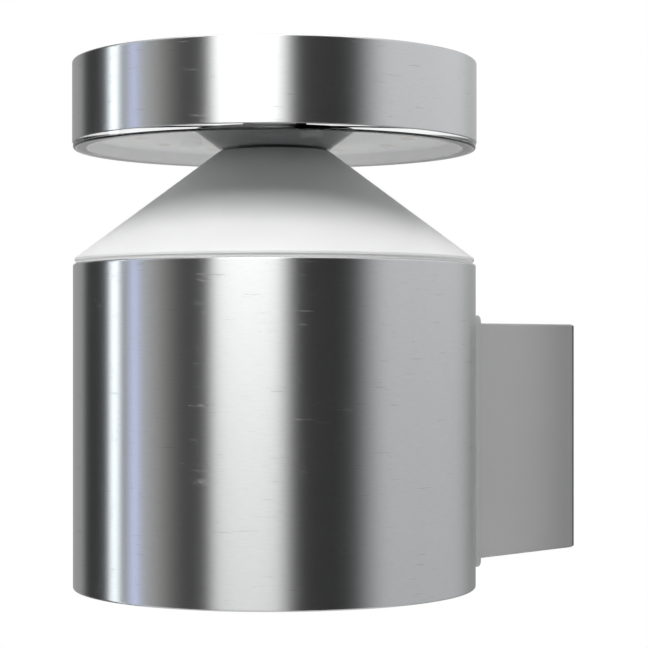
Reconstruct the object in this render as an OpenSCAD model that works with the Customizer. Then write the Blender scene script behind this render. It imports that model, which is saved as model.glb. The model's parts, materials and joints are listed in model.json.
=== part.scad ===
// Tube wall light: a round brushed steel body stands on a wall box, a white cone closes the top of the body,
// and a round lamp head on a central stem shines down onto the cone.
// Millimetres. +Z is up, the wall is the plane y = 0, the room is towards -Y, and the origin is the centre of
// the wall plate's two slots. The tube's axis stands at x = 0, y = -reach.

/* [Body] */
// Outer diameter of the body
body_d = 100; // [94:1:112]
// Height of the body, from its closed bottom to its rim
body_h = 80; // [78:1:110]
// Sheet thickness of the body
body_wall = 1; // [0.8:0.1:1.4]
// Rounding of the body's bottom edge
body_edge_r = 0.5; // [0.3:0.1:0.8]
// Rounding of the body's rim
body_rim_r = 0.5; // [0.2:0.1:0.7]

/* [Lamp head] */
// How far the cap's radius stands past the body's radius
cap_overhang = 0.2; // [0:0.1:2]
// Height of the cap's steel wall
cap_h = 20; // [18:1:30]
// Sheet thickness of the cap
cap_wall = 1; // [0.8:0.1:1.4]
// Rounding of the cap's top edge
cap_edge_r = 0.5; // [0.3:0.1:1]
// Height of the light gap, from the body's rim to the cap's steel edge
light_gap = 30; // [26:1:45]
// Thickness of the lens
lens_t = 2; // [1.6:0.1:3]
// How far the lens stands below the cap's steel edge
lens_lip = 1.5; // [1:0.1:1.6]
// Depth of the light chamber above the lens
chamber_h = 3; // [2.6:0.1:5]
// Number of light chips on the board
chip_count = 12; // [6:1:18]

/* [Cone] */
// Diameter of the cone's neck, just below the lens
neck_d = 28; // [24:1:34]
// Wall thickness of the cone
cone_wall = 2.4; // [2:0.1:3]
// Height of the cone's upright outer edge
cone_edge_h = 1; // [0.8:0.1:2]
// Height of the seal that shows between the cone and the body's rim
cone_seal_h = 0.8; // [0.6:0.1:1.2]

/* [Wall box] */
// Width of the wall box
box_w = 60; // [56:1:68]
// Height of the wall box
box_h = 60; // [56:1:66]
// Wall thickness of the wall box
box_wall = 2; // [1.6:0.1:2.4]
// From the body's surface to the wall
arm_l = 34; // [32:1:60]
// From the body's bottom up to the bottom of the wall box
box_lift = 5.6; // [4:0.2:8]
// Thickness of the curved collar between the body and the wall box
collar_t = 2.8; // [2:0.1:4]
// How far the collar stands past the wall box on each side
collar_lip = 2; // [1:0.1:3]

/* [Wall plate] */
// Thickness of the wall plate
plate_t = 1.5; // [1.2:0.1:2]
// Distance between the centres of the two slots
slot_spacing = 36; // [34:1:38]
// Width of a slot
slot_w = 5; // [4:0.1:6]
// Length of a slot, end to end
slot_l = 9; // [8:0.1:11]
// Bore of the cable grommet in the wall plate
entry_d = 8; // [6:0.1:10]

/* [Driver] */
// Width of the driver
driver_w = 36; // [32:1:40]
// Thickness of the driver, with its lid
driver_t = 22; // [20:1:26]
// Height of the driver's case, without its mounting ears
driver_h = 44; // [42:1:45]

/* [Hidden] */
$fn = 96;

// Overrun of a cut past the face that it opens
cut = 1;
// Clearance between curved faces that lie against each other
skin = 0.1;
// Radial clearance of a screw in its thread
thread_gap = 0.05;
// Clearance between a fastener's end and what it presses on
tip_gap = 0.05;
// Steps of a rounded edge
edge_steps = 8;
// Length of a screw head's cross as a share of the head, and width of a driver slot as a share of its length
cross_share = 0.55;
slot_share = 0.3;

// The frame: heights and depths that the groups of pieces share
body_r = body_d / 2;
body_in_r = body_r - body_wall;
cap_r = body_r + cap_overhang;
cap_in_r = cap_r - cap_wall;
reach = body_r + arm_l;
body_z0 = -box_h / 2 - box_lift;
rim_z = body_z0 + body_h;
cap_z0 = rim_z + light_gap;
cap_z1 = cap_z0 + cap_h;
cap_roof_z = cap_z1 - cap_wall;

// Stem tube, its nut and washer, and the sleeve that spaces the cone
stem_r = 5;
stem_bore_r = 3.8;
stem_hole_r = stem_r + 0.3;
stem_over_base = 2;
stem_below_nut = 1.5;
stem_nut_af = 14;
stem_nut_h = 5;
stem_washer_r = 8.5;
stem_washer_t = 1.2;
sleeve_r = 7.5;

// Light tray, board, chips and heat sink, from the lens up
lens_z0 = cap_z0 - lens_lip;
lens_z1 = lens_z0 + lens_t;
tray_z = lens_z1 + chamber_h;
tray_t = 0.6;
tray_side_t = 0.8;
board_z0 = tray_z + tray_t;
board_t = 1.6;
sink_z0 = board_z0 + board_t;
sink_base_t = 3;
sink_base_z1 = sink_z0 + sink_base_t;
hub_r = 9;
hub_roof_t = 1.5;
hub_seal_t = 0.5;
sink_side_gap = 0.6;
sink_r = cap_in_r - sink_side_gap;
rib_count = 9;
rib_t = 1.6;
rib_drop = 2;
rib_end_gap = 3;
pillar_count = 3;
pillar_r = 5;
pillar_inset = 11.2;
pillar_pitch_r = cap_in_r - pillar_inset;
board_in_r = 11;
board_edge_gap = 0.6;
board_screw_pitch_r = 21;
board_screw_turn = 100;
chip_w = 3;
chip_h = 0.8;
chip_lens_r = 1.2;
chip_lens_h = 0.15;
chip_pitch_r = 33;
chip_window_gap = 0.4;
connector_x = 17;
connector_w = 6;
connector_h = 4;
connector_gap = 1;

// Lens with its spigot and seals
lens_side_gap = 0.2;
lens_r = cap_r - lens_side_gap;
lens_edge_r = 0.5;
spigot_side_gap = 0.15;
lens_spigot_r = cap_in_r - spigot_side_gap;
lens_spigot_t = 2.2;
lens_seal_t = 1.2;
lens_seal_depth = 1;
lens_seal_rise = 1.2;
tray_side_gap = 0.2;
tray_r = lens_spigot_r - lens_spigot_t - tray_side_gap;
neck_seal_t = 0.4;
neck_seal_inset = 1;
hub_seal_inset = 0.4;

// Studs and nuts that hold the cap on the heat sink
stud_r = 1.5;
stud_hole_r = 1.65;
stud_end = 0.3;
m3_nut_af = 5.5;
m3_nut_h = 2.4;
nut_pocket_r = 3.6;
nut_pocket_h = 2.8;

// Small screws that hold the light board, the driver and the earth lug
m3_r = 1.5;
m3_hole_r = 1.7;
m3_head_r = 2.8;
m3_head_h = 1.9;
board_screw_grip = 2.6;
driver_screw_over = 1.4;

// Cone, its spigot in the body, and its seal
cone_inset = 0.4;
cone_r = body_r - cone_inset;
neck_r = neck_d / 2;
cone_z0 = rim_z + cone_seal_h;
cone_z1 = cone_z0 + cone_edge_h;
neck_z = lens_z0 - neck_seal_t;
neck_t = 2.5;
cone_rise = (neck_z - cone_z1) / (cone_r - neck_r);
cone_drop = cone_wall * sqrt(1 + cone_rise * cone_rise);
spigot_gap = 0.4;
spigot_r = body_in_r - spigot_gap;
spigot_wall = 2;
spigot_h = 4;
seal_inset = 0.7;
seal_r = body_r - seal_inset;

// Chassis: a disc under the cone, a strap down the body and a foot on the body's bottom
sheet_t = 1.5;
disc_gap = 0.6;
disc_r = body_in_r - disc_gap;
disc_z1 = cone_z0 - spigot_h;
disc_z0 = disc_z1 - sheet_t;
strap_w = 40;
strap_y = 10;
foot_w = 20;
foot_front = 9;
recess_r = 12;
recess_h = 3.4;
foot_z0 = body_z0 + recess_h + body_wall;
foot_z1 = foot_z0 + sheet_t;
m5_r = 2.5;
m5_hole_r = 2.75;
m5_head_r = 4.6;
m5_head_h = 2.1;
m5_nut_af = 8;
m5_nut_h = 4;
m5_over_nut = 0.5;
bottom_seal_r = 5.4;
bottom_seal_t = 1;

// Driver
ear_h = 6;
ear_t = 2;
ear_foot_gap = 0.9;
driver_z0 = foot_z1 + ear_foot_gap + ear_h;
driver_z1 = driver_z0 + driver_h;
driver_y1 = strap_y;
driver_y0 = driver_y1 - driver_t;
case_wall = 1.5;
lid_t = 2;
lid_rib_h = 1.5;
lid_rib_t = 1.2;
lid_fit = 0.15;
driver_board_t = 1.6;
driver_board_gap = 0.5;
driver_post_r = 2;
driver_post_h = 0.9;
driver_post_inset = 3;
driver_board_y1 = driver_y1 - case_wall - driver_post_h;
driver_board_y0 = driver_board_y1 - driver_board_t;
transformer_w = 18;
transformer_d = 12;
transformer_core_w = 10;
transformer_core_over = 2;
transformer_gap = 1;
capacitor_r = 4;
capacitor_l = 11;
capacitor_pitch = 10;
capacitor_rise = 7;
link_w = 8;
link_h = 6;
link_drop = 4;
link_front = 3;
link_z1 = driver_z1 - case_wall - link_drop;
ear_screw_inset = 6;
mains_port_rise = 12;
mains_port_r = 3.8;
mains_port_z = driver_z0 + mains_port_rise;
led_port_r = 2.6;

// Wall box, collar and the bar inside the body that they are screwed to
edge_r = 0.5;
collar_corner_r = 2;
collar_r = body_r + skin + collar_t;
box_saddle_r = collar_r + skin;
box_front_t = 3;
box_front_r = box_saddle_r + box_front_t;
box_in_w = box_w - 2 * box_wall;
box_in_h = box_h - 2 * box_wall;
wall_seal_t = 1;
wall_seal_inset = 0.4;
box_y1 = -wall_seal_t;
m4_r = 2;
m4_hole_r = 2.2;
m4_head_r = 3.75;
m4_head_h = 2.5;
m4_washer_r = 4.4;
m4_washer_t = 0.8;
box_screw_l = 16;
box_screw_inset = 9;
box_screw_z = box_h / 2 - box_screw_inset;
box_boss_r = 4.5;
boss_over = 2;
bar_w = 18;
bar_front_drop = 4.5;
bar_end = 6;
bar_front = body_in_r - bar_front_drop;
boss_end = bar_front - m4_washer_t + box_screw_l + boss_over;

// Grommet that carries the leads from the body into the wall box
grommet_r = 5;
grommet_fit = 0.1;
grommet_bore_r = 2.75;
grommet_flange_r = 7;
grommet_flange_t = 1.2;
grommet_end = box_front_r + tip_gap + grommet_flange_t;

// Terminal block
pole_pitch = 10;
pole_count = 3;
block_w = 32;
block_d = 12;
block_h = 14;
block_lip_gap = 2.5;
block_gap = 1.2;
block_y0 = boss_end + block_gap;
block_y1 = block_y0 + block_d;
block_post_r = 2.6;
pole_bay_w = 6;
clamp_w = 5.6;
clamp_h = 10;
clamp_bore_r = 1.5;
clamp_y = (block_y0 + block_y1) / 2;
clamp_screw_r = 1.25;
clamp_screw_l = 3.2;
clamp_screw_inset = 2.2;
clamp_key_r = 1.9;
block_screw_r = 1.2;
block_screw_head_r = 2.2;
block_screw_head_h = 1.6;
block_screw_l = 14;
block_screw_hole_gap = 0.1;

// Leads, as smooth curves with round sections
lead_r = 1.1;
led_lead_r = 0.8;
lead_sides = 10;
lead_steps = 14;
lead_spread = 1.5;
lead_side_share = 0.87;
lead_low_share = 0.5;
lead_loop = 8;
lead_entry = 5;
lead_bend = 14;
lead_grip = 4.5;
led_lead_gap = 1.3;
led_lead_rise = 8;
board_lead_x = 1.5;

// Earth lug on the strap
lug_t = 0.8;
lug_ring_r = 3.4;
lug_rise = 11;
lug_z = mains_port_z + lug_rise;
lug_neck_w = 3;
lug_barrel_r = 1.9;
lug_barrel_h = 6;
lug_barrel_rise = 4;
lug_entry = 12;

// Wall plate with its lips, and the pieces on it
plate_side_gap = 1.5;
plate_top_gap = 0.3;
plate_w = box_in_w - 2 * plate_side_gap;
plate_top = box_in_h / 2 - plate_top_gap;
plate_low_inset = 6;
plate_low = -box_h / 2 + plate_low_inset;
block_z0 = plate_low + plate_t + block_lip_gap;
block_z1 = block_z0 + block_h;
block_mid_z = (block_z0 + block_z1) / 2;
lip_l = 14;
lip_side_gap = 5;
lip_w = plate_w - 2 * lip_side_gap;
lip_bend_r = 2;
entry_hole_r = 8;
entry_fit = 0.05;
entry_flange_r = 10;
entry_flange_t = 1.2;
entry_nose_r = 6.5;
entry_nose_h = 3.2;
entry_back_gap = 0.1;
earth_inset = 9.5;
earth_drop = 13.7;
earth_x = plate_w / 2 - earth_inset;
earth_z = plate_top - earth_drop;
earth_boss_r = 3.4;
earth_boss_h = 2.5;
earth_screw_back = 0.3;

// Set screws through the bottom of the wall box
set_x = 16;
set_y = 7;
set_r = 2;
set_l = 5.5;
set_boss_r = 4;
set_boss_gap = 1;
set_tip_gap = 0.1;
set_key_r = 1.15;
set_key_depth = 2;
set_top = plate_low - set_tip_gap;

// Points of an arc about a centre, from one angle to another
function arc(x, y, r, from, to) =
    [for (i = [0:edge_steps]) let (a = from + (to - from) * i / edge_steps) [x + r * cos(a), y + r * sin(a)]];

// Leads: points of a cubic curve, without its first point, and the frames along a path
function unit(v) = v / norm(v);
function curve(a, b, c, d) =
    [for (i = [1:lead_steps]) let (t = i / lead_steps, s = 1 - t)
        s * s * s * a + 3 * s * s * t * b + 3 * s * t * t * c + t * t * t * d];
function tangents(p) =
    [for (i = [0:len(p) - 1]) unit(p[min(i + 1, len(p) - 1)] - p[max(i - 1, 0)])];
function side_of(t) = unit(cross(t, abs(t.x) < abs(t.z) ? [1, 0, 0] : [0, 0, 1]));
function normals(t) =
    [for (i = 0, n = side_of(t[0]); i < len(t);
        i = i + 1, n = i < len(t) ? unit(n - t[i] * (n * t[i])) : n) n];

module lead(path, r) {
    t = tangents(path);
    n = normals(t);
    last = len(path) - 1;
    points = [for (i = [0:last], k = [0:lead_sides - 1]) let (a = 360 * k / lead_sides)
        path[i] + r * (cos(a) * n[i] + sin(a) * cross(t[i], n[i]))];
    walls = [for (i = [0:last - 1], k = [0:lead_sides - 1])
        let (a = i * lead_sides + k, b = i * lead_sides + (k + 1) % lead_sides)
        for (f = [[a, a + lead_sides, b], [b, a + lead_sides, b + lead_sides]]) f];
    start = [[for (k = [0:lead_sides - 1]) k]];
    end = [[for (k = [lead_sides - 1:-1:0]) last * lead_sides + k]];
    polyhedron(points, concat(start, walls, end));
}

module at_axis() {
    translate([0, -reach, 0]) children();
}

// A cylinder along +Y from y0 to y1, at x and z
module along_y(x, z, r, y0, y1) {
    translate([x, y0, z]) rotate([-90, 0, 0]) cylinder(r = r, h = y1 - y0);
}

module ring(r_out, r_in, z0, z1) {
    translate([0, 0, z0]) difference() {
        cylinder(r = r_out, h = z1 - z0);
        translate([0, 0, -cut]) cylinder(r = r_in, h = z1 - z0 + 2 * cut);
    }
}

module hex_nut(across_flats, bore_r, h) {
    difference() {
        cylinder(r = across_flats / sqrt(3), h = h, $fn = 6);
        translate([0, 0, -cut]) cylinder(r = bore_r, h = h + 2 * cut);
    }
}

// A screw along Z: its head stands on z = 0 and its shaft hangs below
module screw(shaft_r, length, head_r, head_h) {
    slot_half = head_r * cross_share;
    difference() {
        union() {
            cylinder(r = head_r, h = head_h);
            translate([0, 0, -length]) cylinder(r = shaft_r, h = length + head_h / 2);
        }
        for (turn = [0, 90]) rotate([0, 0, turn])
            translate([-slot_half, -slot_half * slot_share, head_h / 2])
                cube([2 * slot_half, 2 * slot_half * slot_share, head_h]);
    }
}

// A screw along Y: the head's seat is at y, and the shaft runs towards +Y or -Y
module screw_y(x, y, z, towards, shaft_r, length, head_r, head_h) {
    translate([x, y, z]) rotate([towards > 0 ? 90 : -90, 0, 0]) screw(shaft_r, length, head_r, head_h);
}

// A plate in the XZ plane with rounded corners, from y0 to y1
module rounded_block(w, h, r, y0, y1) {
    outline = concat(
        arc(w / 2 - r, h / 2 - r, r, 0, 90), arc(-w / 2 + r, h / 2 - r, r, 90, 180),
        arc(-w / 2 + r, -h / 2 + r, r, 180, 270), arc(w / 2 - r, -h / 2 + r, r, 270, 360));
    translate([0, y1, 0]) rotate([90, 0, 0]) linear_extrude(y1 - y0) polygon(outline);
}

module cap_shell() {
    color("silver") at_axis() rotate_extrude() polygon(concat(
        [[0, cap_roof_z], [cap_in_r, cap_roof_z], [cap_in_r, cap_z0], [cap_r, cap_z0]],
        arc(cap_r - cap_edge_r, cap_z1 - cap_edge_r, cap_edge_r, 0, 90),
        [[0, cap_z1]]));
}

module each_pillar() {
    for (i = [0:pillar_count - 1]) rotate([0, 0, 180 / pillar_count + i * 360 / pillar_count])
        translate([pillar_pitch_r, 0, 0]) children();
}

module each_board_screw() {
    for (i = [0:2]) rotate([0, 0, board_screw_turn + i * 120])
        translate([board_screw_pitch_r, 0, 0]) children();
}

module each_chip() {
    for (i = [0:chip_count - 1]) rotate([0, 0, (i + 0.5) * 360 / chip_count])
        translate([chip_pitch_r, 0, 0]) children();
}

module cap_studs() {
    z0 = sink_z0 + stud_end;
    color("gray") at_axis() each_pillar() translate([0, 0, z0]) cylinder(r = stud_r, h = cap_roof_z - z0);
}

module cap_nuts() {
    z0 = sink_z0 + nut_pocket_h - m3_nut_h;
    color("gainsboro") at_axis() each_pillar()
        translate([0, 0, z0]) hex_nut(m3_nut_af, stud_r + thread_gap, m3_nut_h);
}

module heat_sink() {
    hub_z0 = lens_z1 + hub_seal_t;
    stem_top = sink_base_z1 + stem_over_base;
    rib_z1 = cap_roof_z - rib_drop;
    connector_bay = connector_w + 2 * connector_gap;
    color("darkgray") at_axis() difference() {
        union() {
            translate([0, 0, sink_z0]) cylinder(r = sink_r, h = sink_base_t);
            translate([0, 0, hub_z0]) cylinder(r = hub_r, h = cap_roof_z - hub_z0);
            each_pillar() translate([0, 0, sink_z0]) cylinder(r = pillar_r, h = cap_roof_z - sink_z0);
            for (i = [0:rib_count - 1]) rotate([0, 0, (i + 0.5) * 360 / rib_count])
                translate([hub_r - rib_t, -rib_t / 2, sink_base_z1 - rib_t])
                    cube([sink_r - rib_end_gap - hub_r + rib_t, rib_t, rib_z1 - sink_base_z1 + rib_t]);
        }
        translate([0, 0, hub_z0 - cut])
            cylinder(r = stem_r + thread_gap, h = cap_roof_z - hub_roof_t - hub_z0 + cut);
        translate([0, -stem_bore_r, stem_top])
            cube([hub_r + cut, 2 * stem_bore_r, cap_roof_z - hub_roof_t - stem_top]);
        translate([connector_x - connector_bay / 2, -connector_bay / 2, sink_z0 - cut])
            cube([connector_bay, connector_bay, cap_roof_z - sink_z0]);
        each_pillar() {
            translate([0, 0, sink_z0 - cut]) cylinder(r = nut_pocket_r, h = nut_pocket_h + cut);
            translate([0, 0, sink_z0]) cylinder(r = stud_hole_r, h = cap_roof_z - sink_z0 + cut);
        }
        each_board_screw() translate([0, 0, sink_z0 - cut])
            cylinder(r = m3_r + thread_gap, h = sink_base_t + cut + cut);
    }
}

module led_board() {
    board_r = tray_r - board_edge_gap;
    color("white") at_axis() difference() {
        ring(board_r, board_in_r, board_z0, board_z0 + board_t);
        each_board_screw() translate([0, 0, board_z0 - cut]) cylinder(r = m3_hole_r, h = board_t + 2 * cut);
    }
}

module led_chips() {
    color("khaki") at_axis() each_chip() {
        translate([-chip_w / 2, -chip_w / 2, board_z0 - chip_h]) cube([chip_w, chip_w, chip_h]);
        translate([0, 0, board_z0 - chip_h - chip_lens_h]) cylinder(r = chip_lens_r, h = chip_h);
    }
}

module led_connector() {
    color("white") at_axis() translate([connector_x - connector_w / 2, -connector_w / 2, sink_z0])
        cube([connector_w, connector_w, connector_h]);
}

module led_board_screws() {
    color("gainsboro") at_axis() each_board_screw() translate([0, 0, tray_z]) mirror([0, 0, 1])
        screw(m3_r, tray_t + board_t + board_screw_grip, m3_head_r, m3_head_h);
}

module light_tray() {
    window = chip_w + 2 * chip_window_gap;
    color("white") at_axis() difference() {
        union() {
            ring(tray_r, hub_r + tray_side_gap, tray_z, tray_z + tray_t);
            ring(tray_r, tray_r - tray_side_t, lens_z1, tray_z + tray_t);
        }
        each_chip() translate([-window / 2, -window / 2, tray_z - cut])
            cube([window, window, tray_t + 2 * cut]);
        each_board_screw() translate([0, 0, tray_z - cut]) cylinder(r = m3_hole_r, h = tray_t + 2 * cut);
    }
}

module lens() {
    groove_z = cap_z0 + lens_seal_rise;
    groove_r = lens_spigot_r - lens_seal_depth;
    inner_r = lens_spigot_r - lens_spigot_t;
    color("lightcyan") at_axis() rotate_extrude() polygon(concat(
        [[stem_hole_r, lens_z1], [stem_hole_r, lens_z0]],
        arc(lens_r - lens_edge_r, lens_z0 + lens_edge_r, lens_edge_r, -90, 0),
        [[lens_r, cap_z0], [lens_spigot_r, cap_z0], [lens_spigot_r, groove_z], [groove_r, groove_z],
            [groove_r, groove_z + lens_seal_t], [lens_spigot_r, groove_z + lens_seal_t],
            [lens_spigot_r, sink_z0], [inner_r, sink_z0], [inner_r, lens_z1]]));
}

module lens_seal() {
    groove_z = cap_z0 + lens_seal_rise;
    color("dimgray") at_axis()
        ring(cap_in_r - tip_gap, lens_spigot_r - lens_seal_depth + tip_gap, groove_z, groove_z + lens_seal_t);
}

module hub_seal() {
    color("dimgray") at_axis() ring(hub_r - hub_seal_inset, stem_hole_r, lens_z1, lens_z1 + hub_seal_t);
}

module neck_seal() {
    color("black") at_axis() ring(neck_r - neck_seal_inset, stem_hole_r, neck_z, lens_z0);
}

module reflector_cone() {
    spigot_in_r = spigot_r - spigot_wall;
    roof_z = neck_z - neck_t;
    inner_top_r = cone_r - (roof_z - cone_z1 + cone_drop) / cone_rise;
    inner_low_z = cone_z1 + (cone_r - spigot_in_r) * cone_rise - cone_drop;
    color("white") at_axis() rotate_extrude() polygon([
        [stem_hole_r, neck_z], [neck_r, neck_z], [cone_r, cone_z1], [cone_r, cone_z0],
        [spigot_r, cone_z0], [spigot_r, disc_z1], [spigot_in_r, disc_z1], [spigot_in_r, inner_low_z],
        [inner_top_r, roof_z], [stem_hole_r, roof_z]]);
}

module cone_seal() {
    color("darkgray") at_axis() ring(seal_r, spigot_r + skin, rim_z, cone_z0);
}

module stem_tube() {
    z0 = disc_z0 - stem_washer_t - stem_nut_h - stem_below_nut;
    color("gainsboro") at_axis() ring(stem_r, stem_bore_r, z0, sink_base_z1 + stem_over_base);
}

module spacer_sleeve() {
    color("lightgray") at_axis() ring(sleeve_r, stem_hole_r, disc_z1, neck_z - neck_t);
}

module stem_washer() {
    color("gainsboro") at_axis() ring(stem_washer_r, stem_hole_r, disc_z0 - stem_washer_t, disc_z0);
}

module stem_nut() {
    color("gainsboro") at_axis() translate([0, 0, disc_z0 - stem_washer_t - stem_nut_h])
        hex_nut(stem_nut_af, stem_r + thread_gap, stem_nut_h);
}

module body_shell() {
    color("silver") at_axis() difference() {
        rotate_extrude() polygon(concat(
            [[0, body_z0 + recess_h], [recess_r, body_z0 + recess_h], [recess_r, body_z0]],
            arc(body_r - body_edge_r, body_z0 + body_edge_r, body_edge_r, -90, 0),
            arc(body_r - body_rim_r, rim_z - body_rim_r, body_rim_r, 0, 90),
            [[body_in_r, rim_z], [body_in_r, body_z0 + body_wall],
                [recess_r + body_wall, body_z0 + body_wall], [recess_r + body_wall, foot_z0], [0, foot_z0]]));
        translate([0, 0, body_z0]) cylinder(r = m5_hole_r, h = recess_h + body_wall + cut);
        for (side = [-1, 1]) along_y(0, side * box_screw_z, m4_hole_r, bar_front, body_r + cut);
        along_y(0, 0, grommet_r + grommet_fit, bar_front, body_r + cut);
    }
}

// The driver's ears have a screw at two opposite corners
module each_driver_screw() {
    for (side = [-1, 1])
        translate([side * (driver_w / 2 - ear_screw_inset), 0,
            (driver_z0 + driver_z1) / 2 + side * (driver_h + ear_h) / 2]) children();
}

module chassis() {
    color("lightsteelblue") at_axis() difference() {
        union() {
            translate([0, 0, disc_z0]) cylinder(r = disc_r, h = sheet_t);
            translate([-strap_w / 2, strap_y, foot_z0]) cube([strap_w, sheet_t, disc_z1 - foot_z0]);
            translate([-foot_w / 2, -foot_front, foot_z0])
                cube([foot_w, foot_front + strap_y + sheet_t, sheet_t]);
        }
        translate([0, 0, disc_z0 - cut]) cylinder(r = stem_hole_r, h = sheet_t + 2 * cut);
        translate([0, 0, foot_z0 - cut]) cylinder(r = m5_hole_r, h = sheet_t + 2 * cut);
        each_driver_screw() along_y(0, 0, m3_r + thread_gap, strap_y - cut, strap_y + sheet_t + cut);
        along_y(0, lug_z, m3_r + thread_gap, strap_y - cut, strap_y + sheet_t + cut);
        along_y(0, mains_port_z, mains_port_r, strap_y - cut, strap_y + sheet_t + cut);
    }
}

module foot_nut() {
    color("gainsboro") at_axis() translate([0, 0, foot_z1]) hex_nut(m5_nut_af, m5_r + thread_gap, m5_nut_h);
}

module bottom_screw() {
    seat_z = body_z0 + recess_h - bottom_seal_t;
    color("gainsboro") at_axis() translate([0, 0, seat_z]) mirror([0, 0, 1])
        screw(m5_r, foot_z1 + m5_nut_h + m5_over_nut - seat_z, m5_head_r, m5_head_h);
}

module bottom_seal() {
    z1 = body_z0 + recess_h;
    color("dimgray") at_axis() ring(bottom_seal_r, m5_hole_r, z1 - bottom_seal_t, z1);
}

module driver_case() {
    open_y = driver_y0 + lid_t;
    x1 = driver_w / 2;
    inner_h = driver_h - 2 * case_wall;
    post_x = x1 - case_wall - driver_post_inset;
    color("whitesmoke") at_axis() difference() {
        union() {
            difference() {
                translate([-x1, open_y, driver_z0]) cube([driver_w, driver_y1 - open_y, driver_h]);
                translate([-x1 + case_wall, open_y - cut, driver_z0 + case_wall])
                    cube([driver_w - 2 * case_wall, driver_y1 - case_wall - open_y + cut, inner_h]);
            }
            translate([-x1, driver_y1 - ear_t, driver_z0 - ear_h])
                cube([driver_w, ear_t, driver_h + 2 * ear_h]);
            for (x = [-post_x, post_x], z = [driver_z0, driver_z1])
                along_y(x, z + sign(driver_z0 + driver_z1 - 2 * z) * (case_wall + driver_post_inset),
                    driver_post_r, driver_board_y1, driver_y1 - case_wall);
        }
        each_driver_screw() along_y(0, 0, m3_hole_r, driver_y1 - ear_t - cut, driver_y1 + cut);
        along_y(0, mains_port_z, mains_port_r, driver_y1 - ear_t - cut, driver_y1 + cut);
        translate([0, 0, driver_z1 - case_wall - cut]) cylinder(r = led_port_r, h = case_wall + 2 * cut);
    }
}

module driver_lid() {
    open_y = driver_y0 + lid_t;
    rib_w = driver_w - 2 * case_wall - 2 * lid_fit;
    rib_l = driver_h - 2 * case_wall - 2 * lid_fit;
    color("whitesmoke") at_axis() difference() {
        union() {
            translate([-driver_w / 2, driver_y0, driver_z0]) cube([driver_w, lid_t, driver_h]);
            translate([-rib_w / 2, driver_y0, driver_z0 + case_wall + lid_fit])
                cube([rib_w, lid_t + lid_rib_h, rib_l]);
        }
        translate([-rib_w / 2 + lid_rib_t, open_y, driver_z0 + case_wall + lid_fit + lid_rib_t])
            cube([rib_w - 2 * lid_rib_t, lid_rib_h + cut, rib_l - 2 * lid_rib_t]);
    }
}

module driver_board() {
    w = driver_w - 2 * case_wall - 2 * driver_board_gap;
    h = driver_h - 2 * case_wall - 2 * driver_board_gap;
    color("seagreen") at_axis()
        translate([-w / 2, driver_board_y0, driver_z0 + case_wall + driver_board_gap])
            cube([w, driver_board_t, h]);
}

module driver_transformer() {
    z0 = driver_z0 + capacitor_rise + capacitor_r + transformer_gap;
    z1 = link_z1 - link_h - transformer_gap;
    y0 = driver_board_y0 - transformer_d;
    over = transformer_core_over;
    color("goldenrod") at_axis() union() {
        translate([-transformer_w / 2, y0, z0 + over])
            cube([transformer_w, transformer_d, z1 - z0 - 2 * over]);
        translate([-transformer_core_w / 2, y0 + over, z0])
            cube([transformer_core_w, transformer_d - 2 * over, z1 - z0]);
    }
}

module driver_capacitors() {
    color("midnightblue") at_axis() for (i = [-1:1])
        along_y(i * capacitor_pitch, driver_z0 + capacitor_rise, capacitor_r,
            driver_board_y0 - capacitor_l, driver_board_y0);
}

module driver_connector() {
    color("white") at_axis() translate([-link_w / 2, -link_front, link_z1 - link_h])
        cube([link_w, driver_board_y0 + link_front, link_h]);
}

module driver_screws() {
    length = ear_t + sheet_t + driver_screw_over;
    color("gainsboro") at_axis() each_driver_screw()
        screw_y(0, driver_y1 - ear_t, 0, 1, m3_r, length, m3_head_r, m3_head_h);
}

module backing_bar() {
    h = 2 * (box_screw_z + bar_end);
    color("darkgray") at_axis() difference() {
        intersection() {
            translate([-bar_w / 2, bar_front, -h / 2]) cube([bar_w, body_r, h]);
            translate([0, 0, -h / 2 - cut]) cylinder(r = body_in_r - skin, h = h + 2 * cut);
        }
        for (side = [-1, 1]) along_y(0, side * box_screw_z, m4_hole_r, bar_front - cut, body_r);
        along_y(0, 0, grommet_r + grommet_fit, bar_front - cut, body_r);
    }
}

module saddle_collar() {
    w = box_w + 2 * collar_lip;
    h = box_h + 2 * collar_lip;
    color("darkgray") at_axis() difference() {
        intersection() {
            translate([0, 0, -h / 2]) cylinder(r = collar_r, h = h);
            rounded_block(w, h, collar_corner_r, 0, body_d);
        }
        translate([0, 0, -h / 2 - cut]) cylinder(r = body_r + skin, h = h + 2 * cut);
        for (side = [-1, 1]) along_y(0, side * box_screw_z, m4_hole_r, bar_front, body_d);
        along_y(0, 0, grommet_r + grommet_fit, bar_front, body_d);
    }
}

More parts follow.
